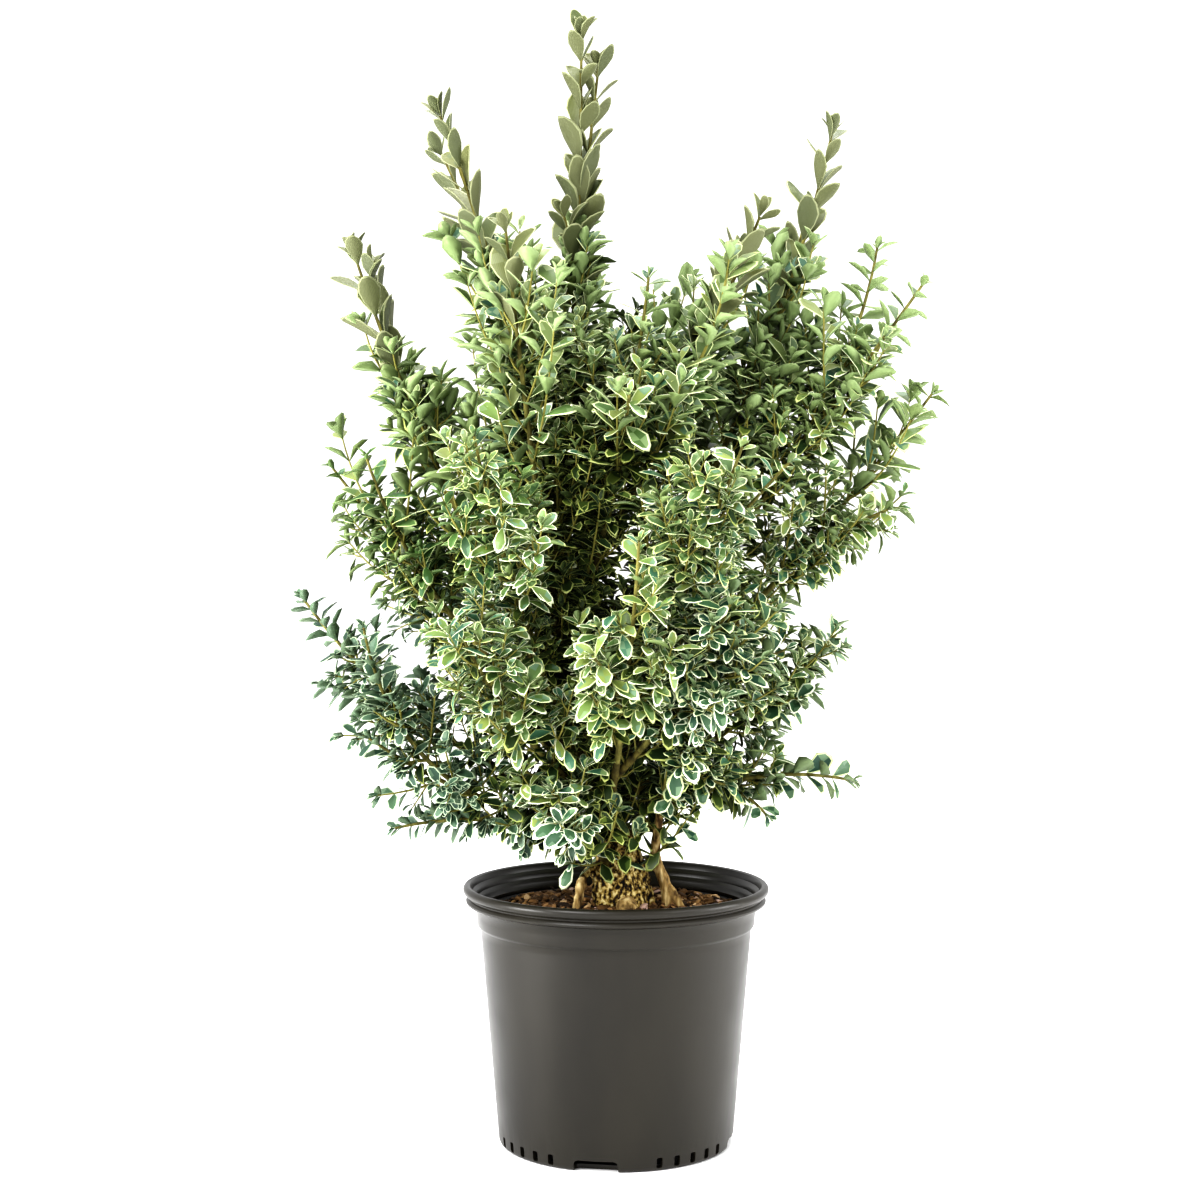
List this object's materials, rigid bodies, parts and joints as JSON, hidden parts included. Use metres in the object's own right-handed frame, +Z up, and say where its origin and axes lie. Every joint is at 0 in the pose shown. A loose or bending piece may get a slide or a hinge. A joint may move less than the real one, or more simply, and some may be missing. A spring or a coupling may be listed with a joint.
{
  "type": "potted variegated boxwood",
  "caption": "Evergreen shrub with small cream-edged leaves on upright whips and spreading boughs, growing in bark mix in a round plastic nursery pot.",
  "frame": {"origin": "centre of the pot's flat underside", "axes": "+Z up along the pot's axis, -Y towards the front, +X to the right as the front is seen"},
  "size_m": [0.5238, 0.4042, 0.8715],
  "materials": {
    "pot_plastic": "satin black",
    "bark_mix": "moist bark chips",
    "bark": "matt bark",
    "foliage": "leathery leaves"
  },
  "bodies": {
    "root": {"pot": "pot_plastic", "soil": "bark_mix", "trunk": "bark", "side_stem": "bark", "bough_upper_left": "bark", "bough_high_left": "bark", "bough_front_upper_left": "bark", "bough_front_top": "bark", "bough_upper_right": "bark", "bough_high_right": "bark", "bough_far_right": "bark", "bough_right": "bark", "bough_low_right": "bark", "bough_drooping_right": "bark", "bough_left": "bark", "bough_low_left": "bark", "bough_front_low_left": "bark", "bough_drooping_left": "bark", "bough_front_left": "bark", "bough_front_right": "bark", "bough_front_mid_left": "bark", "bough_front_mid_right": "bark", "bough_front_middle": "bark", "bough_foot_left": "bark", "bough_foot_back": "bark", "bough_back_top": "bark", "bough_back_left": "bark", "bough_back_right": "bark", "bough_back_low_left": "bark", "bough_back_low_right": "bark", "bough_back_middle": "bark", "foliage_top": "foliage", "foliage_upper_left": "foliage", "foliage_high_left": "foliage", "foliage_front_upper_left": "foliage", "foliage_front_top": "foliage", "foliage_upper_right": "foliage", "foliage_high_right": "foliage", "foliage_far_right": "foliage", "foliage_right": "foliage", "foliage_low_right": "foliage", "foliage_drooping_right": "foliage", "foliage_left": "foliage", "foliage_low_left": "foliage", "foliage_front_low_left": "foliage", "foliage_drooping_left": "foliage", "foliage_front_left": "foliage", "foliage_front_right": "foliage", "foliage_front_mid_left": "foliage", "foliage_front_mid_right": "foliage", "foliage_front_middle": "foliage", "foliage_foot_left": "foliage", "foliage_foot_right": "foliage", "foliage_foot_back": "foliage", "foliage_back_top": "foliage", "foliage_back_left": "foliage", "foliage_back_right": "foliage", "foliage_back_low_left": "foliage", "foliage_back_low_right": "foliage", "foliage_back_middle": "foliage"}
  },
  "joints": []
}
